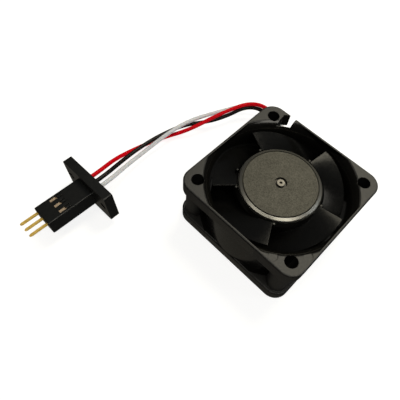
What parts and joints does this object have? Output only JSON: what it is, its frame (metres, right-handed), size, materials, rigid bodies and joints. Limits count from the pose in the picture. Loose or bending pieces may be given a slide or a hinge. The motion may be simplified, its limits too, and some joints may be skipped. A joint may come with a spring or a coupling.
{
  "type": "axial cooling fan",
  "caption": "Square black hot end cooling fan with a bladed rotor, coloured leads and a panel-mount pin plug.",
  "frame": {"origin": "centre of the fan's outlet face, on the surface it lies on", "axes": "+Z along the fan's axis towards the intake face, +X and +Y along the sides of the square frame"},
  "size_m": [0.0725, 0.0872, 0.02],
  "materials": {
    "frame_plastic": "moulded black plastic, fine satin grain",
    "impeller_plastic": "moulded black plastic, satin",
    "plug_plastic": "moulded black plastic, satin",
    "label_film": "blank silver-grey film",
    "sleeve_brass": "turned",
    "bush_brass": "turned, darkened",
    "bearing_steel": "ground and polished",
    "shaft_steel": "ground",
    "cup_steel": "fine satin, warm grey",
    "spring_steel": "pressed sheet",
    "core_steel": "stacked laminations",
    "magnet_ferrite": "bonded ferrite, matt",
    "insulator_nylon": "natural nylon",
    "coil_copper": "enamelled copper wire",
    "board_laminate": "green solder mask",
    "chip_epoxy": "moulded epoxy",
    "capacitor_ceramic": "ceramic",
    "solder": "bright solder",
    "insulation_red": "smooth soft insulation",
    "insulation_black": "smooth soft insulation",
    "insulation_white": "smooth soft insulation",
    "contact_gold": "gold flash on drawn brass"
  },
  "bodies": {
    "frame": {"fan_frame": "frame_plastic", "base_label": "label_film", "bearing_sleeve": "sleeve_brass", "lower_bearing_outer": "bearing_steel", "lower_bearing_balls": "bearing_steel", "upper_bearing_outer": "bearing_steel", "upper_bearing_balls": "bearing_steel", "stator_core": "core_steel", "insulator_upper": "insulator_nylon", "insulator_lower": "insulator_nylon", "stator_coil_1": "coil_copper", "stator_coil_2": "coil_copper", "stator_coil_3": "coil_copper", "stator_coil_4": "coil_copper", "circuit_board": "board_laminate", "driver_chip": "chip_epoxy", "hall_sensor": "chip_epoxy", "board_capacitor": "capacitor_ceramic", "board_resistor": "chip_epoxy", "board_diode": "chip_epoxy", "solder_joints": "solder", "lead_red": "insulation_red", "lead_black": "insulation_black", "lead_white": "insulation_white", "plug_plate": "plug_plastic", "plug_housing": "plug_plastic", "contact_red": "contact_gold", "contact_black": "contact_gold", "contact_white": "contact_gold"},
    "rotor": {"impeller": "impeller_plastic", "rotor_cup": "cup_steel", "rotor_magnet": "magnet_ferrite", "rotor_bush": "bush_brass", "rotor_shaft": "shaft_steel", "retaining_clip": "bearing_steel", "preload_spring": "spring_steel", "lower_bearing_inner": "bearing_steel", "upper_bearing_inner": "bearing_steel"}
  },
  "joints": [
    {"name": "rotor_spin", "type": "hinge", "parent": "frame", "child": "rotor", "pos_m": [0, 0, 0.01], "axis": [0, 0, 1], "continuous": true}
  ]
}
